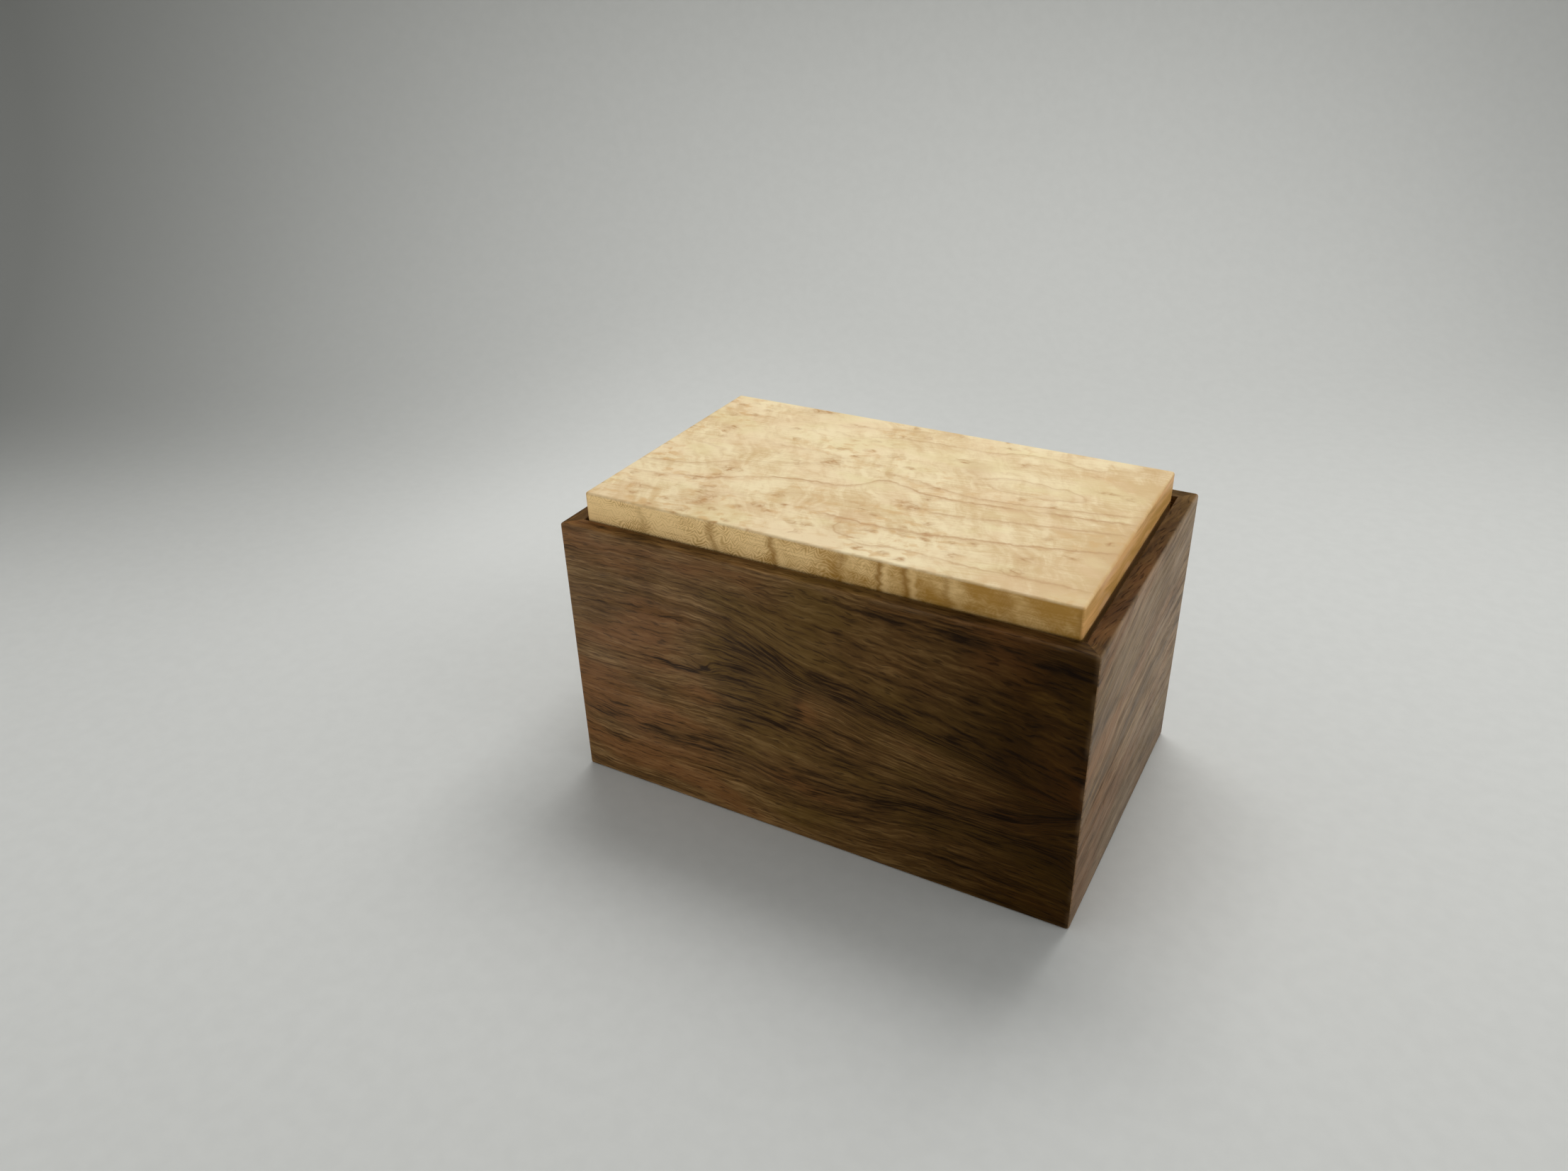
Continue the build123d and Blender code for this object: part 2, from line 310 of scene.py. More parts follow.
# each board: along and up in mm, up from the board's lower edge
walnutBoards = {}
walnutBoards["front_wall"] = {
    **plainBoard, "axes": "xzy", "seed": 4.3, "drift": 2.0,
    # lines that the grain follows, from the lowest up, between the flat ones of its span
    "levels": [
        (20, [(-75, 24), (-63, 22), (-45, 21), (-23, 21), (-5, 19), (20, 20.5), (45, 23), (75, 19)]),
        (31, [(-75, 32), (-45, 33), (-22, 33), (-5, 32), (10, 30.5), (25, 30), (53, 29), (65, 32),
              (75, 36.3)]),
        (47, [(-75, 46), (-45, 46), (-30, 47.6), (0, 47), (20, 43), (50, 39), (75, 37.4)]),
        (62, [(-75, 64), (-45, 65), (-32, 65), (-20, 62.5), (-10, 58), (1, 53.5), (15, 52), (40, 47.5),
              (58, 43), (75, 38.4)]),
        (78, [(-75, 79), (0, 80), (11, 79.5), (40, 78.5), (75, 75.5)]),
    ],
    # dark bands: path, width, darkness, and where each starts, is full, has gone and begins to go
    "bands": [
        ([(-34, 74), (-23, 65), (-10, 58), (1, 53), (15, 52), (40, 47.5), (58, 43), (75, 37)],
         2.8, 0.11, (-40, -24, 60, -10)),
        ([(-4, 54), (15, 52), (40, 47.5), (58, 43), (75, 37)], 3.4, 0.08, (-10, 10, 90, 80)),
        ([(-5, 32), (10, 30.5), (25, 30), (53, 29), (65, 32), (75, 36.5)], 1.6, 0.18, (-10, 34, 90, 80)),
        ([(-75, 24.5), (-63, 22), (-45, 21), (-23, 21), (-5, 19), (20, 20.5), (45, 23), (75, 18)],
         2.4, 0.15, throughout),
        ([(11, 79.5), (40, 78.5), (75, 75.5)], 1.4, 0.15, (8, 24, 90, 80)),
        ([(-53, 46.3), (-42, 46), (-31, 47.6)], 0.7, 0.3, (-58, -46, -26, -31)),
    ],
    # soft lighter or darker places: middle, reach, change
    "clouds": [
        ((-21, 46), (12.5, 9.5), -0.26), ((-39, 40), (14, 20), 0.09), ((-62, 46), (20, 16), -0.07),
        ((-70, 80), (34, 14), 0.09), ((45, 20), (36, 9), -0.07), ((28, 41), (26, 5), 0.05),
        ((-45, 12), (45, 7), 0.08), ((-47, 67), (1.8, 4.5), -0.16), ((-45, 53.6), (3.2, 1.6), -0.18),
        ((12, 42), (14, 8), -0.14), ((12, 26), (13, 8), -0.14),
    ],
    # small dark knots: middle, reach, darkness
    "knots": [((-30.5, 47.8), (1.5, 0.55), 0.5)],
    # redder or more olive places: middle, reach, change
    "hues": [((13, 43), (18, 9), -0.38), ((-42, 60), (18, 8), 0.22), ((-10, 8), (70, 7), 0.12)],
    # tongues of grain that end on the right: middle, reach, edge darkness, inside darkness
    "tongues": [((-22, 47.5), (22.5, 14.0), 0.24, 0.14), ((-57, 53), (14, 4.2), 0.12, -0.04)],
    # broad darkening, partly the wood's own darker tone and partly painted shade, painted shade on the rim
    # (lighter where it is below 0), and a painted sheen on the outer face: colour, amount, middle, reach
    "shades": [((92, 40), (70, 200), 1.0), ((50, -4), (45, 26), 0.24), ((80, 56), (36, 22), 0.42)],
    "rim": -0.1,
    "wash": ((0.4, 0.33, 0.28), 0.075, (-70, 70), (55, 55)),
}
walnutBoards["right_wall"] = {
    **plainBoard, "axes": "yzx", "seed": 17.9, "drift": 5.0,
    "levels": [
        (18, [(-47, 17), (47, 19)]),
        (40, [(-47, 35), (0, 41), (47, 44)]),
        (66, [(-47, 55), (-25, 64), (0, 70), (47, 75)]),
    ],
    "bands": [
        ([(-47, 58), (-10, 57), (20, 55), (47, 52)], 2.0, 0.14, throughout),
        ([(-47, 40), (-10, 40), (20, 42), (47, 41)], 1.8, 0.14, throughout),
    ],
    "clouds": [((-14, 51), (24, 3), 0.12), ((-14, 31), (24, 4), 0.12), ((50, 55), (30, 40), 0.12)],
    "shades": [((-5, -4), (90, 34), 0.7)],
    "rim": 0.52,
    "wash": ((0.42, 0.345, 0.262), 0.335, (55, 66), (140, 100)),
}
walnutBoards["back_wall"] = {
    **plainBoard, "axes": "xzy", "seed": 31.2, "drift": 4.0,
    "levels": [
        (15, [(-75, 11), (-20, 16), (30, 14), (75, 19)]),
        (34, [(-75, 27), (-30, 31), (5, 34), (40, 34), (75, 33)]),
        (48, [(-75, 31), (-30, 37), (5, 48), (40, 54), (75, 53)]),
    ],
    "bands": [
        ([(-75, 31), (-30, 37), (5, 48), (40, 54), (75, 53)], 2.8, 0.2, throughout),
        ([(-75, 11), (-20, 16), (30, 14), (75, 19)], 2.2, 0.15, throughout),
    ],
    "clouds": [((-40, 60), (30, 14), 0.12), ((40, 42), (30, 7), 0.1)],
    "tongues": [((32, 41), (-40, 8), 0.18, 0.05)],  # this one ends on the left
    "shades": [((-90, 60), (50, 90), 0.5)],
    "rim": 0.35,
}
walnutBoards["left_wall"] = {
    **plainBoard, "axes": "yzx", "seed": 46.7, "drift": 5.0,
    "levels": [
        (22, [(-47, 20), (0, 25), (47, 22)]),
        (45, [(-47, 40), (-15, 47), (15, 45), (47, 53)]),
    ],
    "bands": [([(-47, 40), (-15, 47), (15, 45), (47, 53)], 2.4, 0.17, throughout)],
    "clouds": [((0, 18), (30, 9), 0.1)],
    "shades": [((0, -6), (90, 20), 0.3)],
    "rim": 0.35,
    "wash": ((0.36, 0.29, 0.19), 0.14, (0, 60), (150, 100)),
}


def walnutMaterial(nodeName, board):
    g = Graph("walnut_" + nodeName, walnut, board["seed"])
    spot = g.place()
    along, up, deep = (spot[axis] for axis in board["axes"])
    face = g.join(along, up, deep)
    boxLow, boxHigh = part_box(nodeName)

    # the grain follows the levels, swells round the knots and ripples
    line = g.layers(along, up, board["span"], board["levels"]) + board["drift"] * g.noise(face, "drift")
    line = line + walnut["climb"] * deep
    if board["knots"]:
        line = line + g.hills(face, [(centre, *walnut["swell"]) for centre, reach, dark in board["knots"]])
    ripple = g.noise(face, "ripple")
    curl = g.fade(g.noise(face, "curl"), "curlRange")
    line = line + ripple * curl

    grain = g.join(along, line, deep)
    broad = g.noise(grain, "broad")
    streak = g.noise(grain, "streak")
    fibre = g.noise(grain, "fibre")
    rings = g.ridge(g.noise(grain, "rings"), walnut["ringWidth"])
    pores = g.fade(g.noise(grain, "pores"), "poreRange")
    blotch = g.noise(face, "blotch")
    warm = g.noise(grain, "warm") * walnut["warmNoise"] + g.fade(along, "warmAlong")
    warm = warm + g.hills(face, board["hues"])

    tone = g.total("tone", broad=broad, streak=streak, fibre=fibre, blotch=blotch, rings=rings)
    dots = [(centre, reach, -dark) for centre, reach, dark in board["knots"]]
    tone = tone + g.hills(face, board["clouds"] + dots)
    uneven = g.total("bandUneven", blotch=blotch, streak=streak)
    for path, width, dark, (start, full, gone, going) in board["bands"]:
        off = g.above(along, up, path)
        shade = g.ridge(off + uneven, width) + walnut["bandSoft"] * g.ridge(off, walnut["bandSpread"] * width)
        tone = tone - dark * shade * g.step(along, start, full) * g.step(along, gone, going)
    for centre, reach, edgeDark, insideDark in board["tongues"]:
        span = g.oval(face, centre, reach) + g.total("tongueUneven", blotch=blotch, streak=streak)
        end = g.fade((along - centre[0]) / reach[0], "tongueEnd")
        low = g.fade((up - centre[1]) / reach[1], "tongueLow")
        edge = g.ridge(span - walnut["tongueLine"], walnut["tongueWidth"])
        inside = g.fade(span, "tongueInside")
        tone = tone - end * (edgeDark * low * edge + insideDark * inside)
        warm = warm - walnut["tongueOlive"] * insideDark * end * inside

    colour = g.mix(g.fade(tone, "darkRange"), walnut["dark"], walnut["middle"])
    colour = g.mix(g.fade(tone, "lightRange"), colour, walnut["light"])
    lit = g.fade(tone, "litRange")
    colour = g.mix(g.fade(warm, "redRange") * lit, colour, walnut["red"])
    colour = g.mix(g.fade(warm, "oliveRange") * lit, colour, walnut["olive"])
    colour = g.mix(pores * walnut["poreDark"], colour, walnut["dark"])
    # painted shade: the rim darker (lighter on the front wall), and broad darkening that is partly the wood's
    # own tone
    if board["shades"]:
        top = boxHigh.z / mm
        start, full = walnut["rimDepths"]
        dim = g.step(up, top - start, top - full, 0.0, board["rim"]) * (1.0 + walnut["rimBlotch"] * blotch)
        colour = g.mix(dim + g.hills(face, board["shades"]), colour, walnut["shade"], "MULTIPLY")
    # painted sheen: a pale haze on the outer face, strongest about its middle
    if board["wash"]:
        sheen, amount, centre, reach = board["wash"]
        index = "xyz".index(board["axes"][2])
        outer = max(abs(boxLow[index]), abs(boxHigh[index])) / mm
        start, full = walnut["hazeDepths"]
        paintedHaze = g.hills(face, [(centre, reach, amount)]) * g.step(abs(deep), outer - start, outer - full)
        uneven = g.total("hazeUneven", streak=streak, fibre=fibre, blotch=blotch)
        colour = g.mix(paintedHaze * uneven, colour, sheen)
    wear, colour = g.wear(spot, nodeName, g.noise(face, "wear"), colour)
    rough = g.total("rough", fibre=fibre, pores=pores, wear=wear)
    height = g.total("bump", pores=pores, fibre=fibre)
    return g.finish(colour, rough, height)


for nodeName, board in walnutBoards.items():
    paint(nodeName, walnutMaterial(nodeName, board))
print("walnut walls done")

# birdseye maple lid: places in mm from the middle of the lid, x to the right, y to the back
maple = {
    "pale": (0.85, 0.705, 0.44),
    "warm": (0.64, 0.45, 0.222),
    "rose": (0.76, 0.54, 0.325),
    "straw": (0.77, 0.64, 0.345),
    "line": (0.48, 0.262, 0.108),
    "eye": (0.41, 0.195, 0.052),
    "fleck": (0.62, 0.365, 0.135),
    "edgePale": (0.96, 0.678, 0.312),
    "edgeGold": (0.438, 0.228, 0.038),
    "edgeDark": (0.33, 0.16, 0.024),
    "endPale": (0.69, 0.38, 0.137),
    "endGold": (0.46, 0.25, 0.061),
    "endRose": (0.68, 0.395, 0.195),
    "worn": (0.46, 0.25, 0.061),
    "rough": {"start": 0.42, "fibre": 0.05, "cloud": 0.06, "wear": 0.08},
    "fixed": {"Specular IOR Level": 0.25},
    "bumpDepth": 0.05,
    "noises": {
        "sway": ((0.05, 0.05, 0.0), 5.0),
        "jitter": ((0.22, 0.22, 0.0), 9.0),
        "broken": ((0.07, 0.1, 0.0), 8.0),
        "shake": ((0.45, 0.45, 0.0), 61.0),
        "squiggle": ((0.3, 0.48, 0.0), 1.0, 1.0),
        "crossing": ((0.34, 0.5, 0.0), 21.0, 1.0),
        "busy": ((0.03, 0.05, 0.0), 4.0, 1.0),
        "cloud": ((0.03, 0.055, 0.0), 2.0, 3.0, 0.55),
        "shimmer": ((0.13, 0.05, 0.0), 6.0),
        "mottle": ((0.3, 0.11, 0.0), 14.0, 3.0, 0.6),
        "fibre": ((0.12, 1.5, 0.0), 3.0),
        "rosy": ((0.06, 0.08, 0.0), 31.0),
        "green": ((0.05, 0.09, 0.0), 41.0),
        "fleck": ((0.26, 0.4, 0.0), 51.0),
        # long edges
        "phase": ((0.1, 0.18, 0.0), 2.0),
        "weave": ((0.2, 0.4, 0.0), 7.0),
        "patch": ((0.14, 0.25, 0.0), 11.0),
        "edgeCloud": ((0.1, 0.1, 0.0), 13.0, 3.0),
        "edgeFine": ((0.5, 0.7, 0.0), 19.0),
        "bend": ((0.12, 0.24, 0.0), 17.0),
        "edgeFibre": ((0.1, 1.9, 0.0), 27.0, 3.0, 0.65),
        # ends
        "end": ((0.45, 0.03, 0.0), 0.5, 3.0, 0.6),
        "endFine": ((2.2, 0.12, 0.0), 23.0),
        "endRosy": ((0.2, 0.06, 0.0), 33.0),
    },
    # growth lines: path and strength
    "lines": [
        ([(-69, 26), (-51, 28), (-25, 32), (-13, 35), (2, 38)], 0.3),
        ([(-28, 28.6), (-19, 25.3), (-15, 27.8), (5, 31), (21, 31.4), (26, 33), (37, 34.4), (49, 32), (56, 34)],
         0.42),
        ([(-69, -14.4), (-52, -11), (-44, -5.4), (-35, -2), (-25, 2), (-17, 8)], 0.45),
        ([(-69, -23), (-47, -19), (-34, -13), (-23, -9), (-9, -7), (-3, -3), (2.2, 1), (7, 0), (17, -2.4),
          (26, -2), (41, 0), (54, 1.6), (70, 4.2)], 0.68),
        ([(-40, -26), (-29, -23), (-18, -17), (-7, -15), (5, -15)], 0.42),
        ([(-2, 6.4), (7, 4.9), (19, 2.2), (26, 1.4), (37, 2.4), (47, 4), (70, 9)], 0.5),
        ([(-9, -23.6), (1, -24.6), (17, -24.4), (31, -22), (46, -19), (60, -15.4), (70, -12.8)], 0.66),
        ([(6, -32), (11, -35.4), (18, -33.6), (28, -34), (41, -34.6), (51, -34), (70, -34)], 0.52),
        ([(-43, 12.4), (-37, 11), (-25, 11), (-14, 9.4)], 0.4),
        ([(14, -10.6), (26, -11), (36, -9), (51, -6), (61, -4), (70, -2)], 0.5),
    ],
    # the lines' ends in mm, shake from right to left, thin and soft widths, and how far aside the soft one lies
    "lineStart": (-2, 7), "lineEnd": (2, -6), "lineShake": (40.0, -30.0, 0.6, 1.2),
    "thinWidth": 0.45, "softWidth": 1.1, "softAside": 0.7, "thinDark": 0.85, "softDark": 0.34,
    "brokenAlong": 0.003, "brokenRange": (-0.35, 0.15, 0.35, 1.0),
    # closed lines: middle, reach, strength, and the way that an open one faces
    "loops": [
        ((37.7, 12.4), (14.0, 4.3), 0.36, None),
        ((-57, 0.2), (6.2, 2.4), 0.45, (0.6, 0.8)),
        ((6.0, -27.6), (6.4, 5.4), 0.5, (-0.7, -0.7)),
    ],
    "loopUneven": {"jitter": 0.45, "sway": 0.4}, "loopOpen": (0.1, 0.6),
    "loopThin": 0.36, "loopInner": 0.85, "loopSoft": 0.25,
    # marked eyes: place, reach, strength
    "eyes": [
        ((15.2, 22.3), (3.0, 1.1), 1.0), ((-57, 15.6), (2.6, 1.2), 0.6), ((-39.8, 23), (1.4, 1.0), 0.6),
        ((31.8, 27), (1.1, 1.5), 0.7), ((24, 36.5), (1.4, 0.9), 0.7), ((-38, 39.4), (4.2, 1.8), 0.8),
        ((57, 19), (2.6, 1.0), 0.8), ((63, 18), (2.0, 1.4), 0.6), ((-22.2, -27.2), (2.4, 1.8), 0.7),
        ((-16.6, -24.4), (1.8, 0.9), 0.7), ((-37.4, -30.5), (2.2, 4.2), 0.8), ((-9.4, -32.4), (2.4, 1.0), 0.7),
        ((49, -32.6), (3.0, 1.6), 0.7), ((33, -31), (2.6, 1.6), 0.6), ((50, -25), (3.0, 1.8), 0.6),
        ((13, -9.6), (4.6, 1.8), 0.6), ((-18, 6), (3.2, 3.0), 0.8), ((-3.2, 17.2), (2.4, 1.2), 0.5),
        ((-58, -31), (4.0, 1.6), 0.6), ((-42, -10.5), (4.2, 1.6), 0.6), ((-26.5, 1.6), (2.0, 2.0), 0.6),
        ((59, -20), (2.4, 1.0), 0.6), ((-23, 33.6), (2.2, 1.0), 0.5), ((46, 4), (1.4, 2.4), 0.6),
    ],
    # scattered eyes: spacing in mm, size, strength, where they are many, and how dark all eyes are
    "cell": (7.2, 5.0), "cellSize": (0.36, 0.06), "cellEye": 0.62, "cellChance": (0.0, 0.25),
    "busySlope": 0.004, "busyRange": (-0.3, 0.4, 0.08, 0.8), "eyeDark": 0.85,
    "eyeHalo": (0.05, 0.8, 0.0, 0.12), "eyeFill": 0.25, "eyeBend": (2.4, 1.2),
    "squiggleWidth": 0.12, "crossing": 0.6, "crossingWidth": 0.1,
    # brown clouds: place, reach, strength
    "clouds": [
        ((20.5, 18.4), (4.2, 5.5), 0.34), ((-38, 38), (6, 4), 0.3), ((4.2, 38), (1.6, 3.0), 0.3),
        ((-41, -32), (6, 7), 0.26), ((64, 36), (8, 5), 0.26), ((2, -27), (4, 8), 0.2),
        ((70, -8), (2.6, 30), 0.45),
    ],
    "cloudBend": 4.0,
    # broad warmer or paler places, partly painted shade where the right end is darker: place, reach, change
    "shades": [((80, -15), (42, 80), 0.55), ((-40, 42), (80, 18), -0.26), ((32, 6), (18, 14), -0.18)],
    # warmth of the top and what each pattern adds to it
    "tone": {"start": 0.38, "cloud": 0.85, "shimmer": 0.45, "mottle": 0.72, "fibre": 0.36},
    "slant": 0.6, "slantBend": 9.0, "fibreSlant": 0.14, "fibreBend": 2.0,
    "roseRange": (-0.1, 0.35, 0.0, 0.32), "strawRange": (0.05, 0.4, 0.0, 0.5),
    "fleckRange": (0.0, 0.4), "fleckDark": 0.75,
    # zigzag flecks in the long edges: length, height and row spacing in mm, unevenness, strength by place
    "zigLength": 3.3, "zigHeight": 1.7, "zigRow": 1.05, "zigUneven": 1.2,
    "zigAlong": (40.0, -40.0, 0.06, 0.42), "zigPatch": (-0.35, 0.25, 0.55, 1.0),
    # dark curls in the front edge: place, width, strength
    "curls": [
        (-51.0, 1.2, 0.3), (-29.4, 1.3, 0.55), (-11.2, 1.2, 0.72), (7.6, 1.3, 0.46), (18.4, 0.8, 0.85),
        (25.0, 0.8, 0.85), (36.4, 1.2, 0.45), (51.0, 1.6, 0.3), (68.5, 1.0, 0.6),
    ],
    # the curls' lean and bend, and a painted highlight beside each curl: how far aside in curl widths, and its
    # strength
    "curlLean": 0.1, "curlBend": 3.2, "glintAside": 2.1, "glint": 0.6,
    # the long edges' tone: its share of x makes them darker towards the right, partly the wood's own tone and
    # partly painted shade
    "edgeTone": {"start": 0.51, "weave": 1.0, "cloud": 1.0, "fine": 0.3, "fibre": 0.3, "x": 0.0088},
    "edgeRange": (-0.15, 1.25), "edgeFibreRange": (0.0, 0.45, 0.0, 0.25),
    # end grain
    "endRise": 0.1, "endBend": 2.0, "endTone": {"start": 0.45, "noise": 1.3, "fine": 0.52, "z": -0.02},
    "endRoseRange": (0.0, 0.4, 0.0, 0.7),
    "turn": (0.75, 0.15),  # mm before an edge over which one side's figure gives way to the next
    "wear": 0.35, "wearReach": 1.2,
    "bump": {"shimmer": 0.25, "fibre": 0.15, "eyes": -0.5, "thin": -0.25},
}


def mapleMaterial(name):
    low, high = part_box("lid_panel")
    middle = (low + high) / 2 / mm
    right = high.x / mm - middle.x
    g = Graph(name, maple)
    spot = g.place()
    x = spot["x"] - middle.x
    y = spot["y"] - middle.y
    z = spot["z"] - high.z / mm
    face = g.join(x, y)

    # growth lines, a thin dark one with a soft side each
    sway = g.noise(face, "sway")
    jitter = g.noise(face, "jitter")
    broken = g.fade(g.noise(face, "broken") + maple["brokenAlong"] * x, "brokenRange")
    shaken = y + jitter * g.fade(x, "lineShake") + g.noise(face, "shake")
    thin = 0.0
    soft = 0.0
    for points, strength in maple["lines"]:
        off = g.above(x, shaken, points)
        starts = [points[0][0] + part for part in maple["lineStart"]]
        stops = [points[-1][0] + part for part in maple["lineEnd"]]
        ends = g.step(x, *starts, 0.0, strength) * g.step(x, *stops)
        thin = g.ridge(off, maple["thinWidth"]).sum("MULTIPLY_ADD", ends, thin)
        soft = g.ridge(off + maple["softAside"], maple["softWidth"]).sum("MULTIPLY_ADD", ends, soft)
    for centre, reach, strength, facing in maple["loops"]:
        span = g.oval(face, centre, reach) + g.total("loopUneven", jitter=jitter, sway=sway)
        if facing:
            ahead = (x - centre[0]) / reach[0] * facing[0] + (y - centre[1]) / reach[1] * facing[1]
            strength = g.step(ahead, *maple["loopOpen"], 0.0, strength)
        thin = g.ridge(span - 1, maple["loopThin"] / reach[1]).sum("MULTIPLY_ADD", strength, thin)
        soft = g.ridge(span - maple["loopInner"], maple["loopSoft"]).sum("MULTIPLY_ADD", strength, soft)

    # birdseyes: bits of curly lines, shown in small spots
    squiggle = g.ridge(g.noise(face, "squiggle"), maple["squiggleWidth"])
    squiggle = squiggle + maple["crossing"] * g.ridge(g.noise(face, "crossing"), maple["crossingWidth"])
    bent = g.join(x + maple["eyeBend"][0] * jitter, y + maple["eyeBend"][1] * jitter)
    cells = g.stretch(bent, (1 / maple["cell"][0], 1 / maple["cell"][1], 0.0))
    cell = {"Vector": cells, "Scale": 1.0, "Randomness": 1.0}
    apart = g.add("ShaderNodeTexVoronoi", {"voronoi_dimensions": "2D"}, cell, "Distance")
    tint = g.add("ShaderNodeTexVoronoi", {"voronoi_dimensions": "2D"}, cell, "Color")
    chance = g.add("ShaderNodeSeparateColor", None, {"Color": tint}, "Red")
    busy = g.noise(face, "busy") - maple["busySlope"] * x - maple["busySlope"] * y
    busy = g.fade(busy, "busyRange")
    marks = g.hills(bent, maple["eyes"])
    marks = marks + maple["cellEye"] * g.fade(apart, "cellSize") * g.fade(busy - chance, "cellChance")
    eyes = (marks * (maple["eyeFill"] + (1 - maple["eyeFill"]) * squiggle)).sum("MINIMUM", 1.0)

    cloud = g.noise(face, "cloud")
    slantX = x + maple["slant"] * y + maple["slantBend"] * sway
    slantY = y - maple["slant"] * x + maple["slantBend"] * jitter
    slant = g.join(slantX, slantY)
    shimmer = g.noise(slant, "shimmer")
    mottle = g.noise(slant, "mottle")
    fibre = g.noise(g.join(x, y - maple["fibreSlant"] * x + maple["fibreBend"] * sway), "fibre")
    rosy = g.noise(face, "rosy")
    green = g.noise(face, "green")
    brown = g.hills(g.join(x + maple["cloudBend"] * sway, y + maple["cloudBend"] * jitter), maple["clouds"])
    tone = g.total("tone", cloud=cloud, shimmer=shimmer, mottle=mottle, fibre=fibre)
    tone = tone + g.hills(face, maple["shades"])
    fleck = g.fade(g.noise(bent, "fleck"), "fleckRange") * busy
    top = g.mix(g.step(tone, 0.0, 1.0), maple["pale"], maple["warm"])
    top = g.mix(g.fade(rosy, "roseRange"), top, maple["rose"])
    top = g.mix(g.fade(green, "strawRange"), top, maple["straw"])
    top = g.mix(fleck * maple["fleckDark"], top, maple["fleck"])
    top = g.mix(brown, top, maple["line"])
    drawn = (thin * maple["thinDark"] + soft * maple["softDark"]) * broken
    top = g.mix(drawn + g.fade(marks, "eyeHalo"), top, maple["line"])
    top = g.mix(eyes * maple["eyeDark"], top, maple["eye"])

    # long edges: zigzag flecks that fade to the right, darker curls with painted glints beside them, and a
    # painted shade that darkens them towards the right
    strip = g.join(x, z)
    phase = x / maple["zigLength"] + maple["zigUneven"] * g.noise(strip, "phase")
    zig = abs(phase.sum("FRACT") - 0.5) * 2
    rows = z + maple["zigHeight"] * zig + maple["zigUneven"] * g.noise(strip, "weave")
    weave = (rows * (2 * math.pi / maple["zigRow"])).sum("SINE") * g.fade(x, "zigAlong")
    weave = weave * g.fade(g.noise(strip, "patch"), "zigPatch")
    cloudy = g.noise(strip, "edgeCloud")
    fine = g.noise(strip, "edgeFine")
    bend = x + maple["curlLean"] * z + maple["curlBend"] * g.noise(strip, "bend")
    curls = 0.0
    paintedGlints = 0.0
    for place, width, strength in maple["curls"]:
        curls = g.ridge(bend - place, width).sum("MULTIPLY_ADD", strength, curls)
        # a painted glint beside each curl
        glint = g.ridge(bend - place - maple["glintAside"] * width, width)
        paintedGlints = glint.sum("MULTIPLY_ADD", maple["glint"] * strength, paintedGlints)
    edgeFibre = g.noise(strip, "edgeFibre")
    edgeTone = g.total("edgeTone", weave=weave, cloud=cloudy, fine=fine, fibre=edgeFibre, x=x)
    edge = g.mix(g.fade(edgeTone, "edgeRange"), maple["edgePale"], maple["edgeGold"])
    edge = g.mix(g.fade(edgeFibre, "edgeFibreRange"), edge, maple["edgeDark"])
    edge = g.mix(curls, edge, maple["edgeDark"])
    edge = g.mix(paintedGlints, edge, maple["edgePale"])

    # ends: bands of end grain that rise a little along the edge
    butt = g.join(z + maple["endRise"] * y + maple["endBend"] * sway, y)
    endTone = g.total("endTone", noise=g.noise(butt, "end"), fine=g.noise(butt, "endFine"), z=z)
    end = g.mix(g.step(endTone, 0.0, 1.0), maple["endPale"], maple["endGold"])
    end = g.mix(g.fade(g.noise(butt, "endRosy"), "endRoseRange"), end, maple["endRose"])

    start, full = maple["turn"]
    side = g.mix(g.step(abs(x), right - start, right - full), edge, end)
    colour = g.mix(g.step(z, -start, -full), side, top)
    wear, colour = g.wear(spot, "lid_panel", jitter, colour)
    rough = g.total("rough", fibre=fibre, cloud=cloud, wear=wear)
    height = g.total("bump", shimmer=shimmer, fibre=fibre, eyes=eyes, thin=thin)
    return g.finish(colour, rough, height)


paint("lid_panel", mapleMaterial("birdseye_maple"))
print("maple lid done")

# plain maple inside: each piece's axes along, up and into the wood, and its seed
plainMaple = {
    "pale": (0.66, 0.49, 0.29),
    "warm": (0.5, 0.33, 0.17),
    "worn": (0.4, 0.26, 0.13),
    "rough": {"start": 0.55, "fibre": 0.08, "wear": -0.1},
    "fixed": {"Specular IOR Level": 0.25},
    "bumpDepth": 0.02,
    "noises": {
        "sway": ((0.012, 0.03, 0.0), 0.0),
        "ring": ((0.0, 0.07, 0.0), 0.0),
        "fibre": ((0.08, 1.8, 0.0), 0.0),
        "cloud": ((0.03, 0.05, 0.05), 2.0),
        "fleck": ((0.5, 1.1, 0.0), 5.0, 1.0),
    },
    "sway": 3.0, "climb": 0.8,
    "ringSpacing": 6.5, "ringUneven": 0.4, "ringRise": (0.78, 0.95), "ringFall": (1.0, 0.965),
    "fleckRange": (0.2, 0.45), "marks": {"ring": 0.45, "fleck": 0.12},
    "tone": {"start": 0.35, "cloud": 0.5, "fibre": 0.35}, "wear": 0.5, "wearReach": 1.0,
    "pieces": {
        "front_liner": ("xzy", 1.0),
        "back_liner": ("xzy", 4.7),
        "left_liner": ("yzx", 8.4),
        "right_liner": ("yzx", 12.1),
        "corner_splines": ("zxy", 15.8),
    },
}


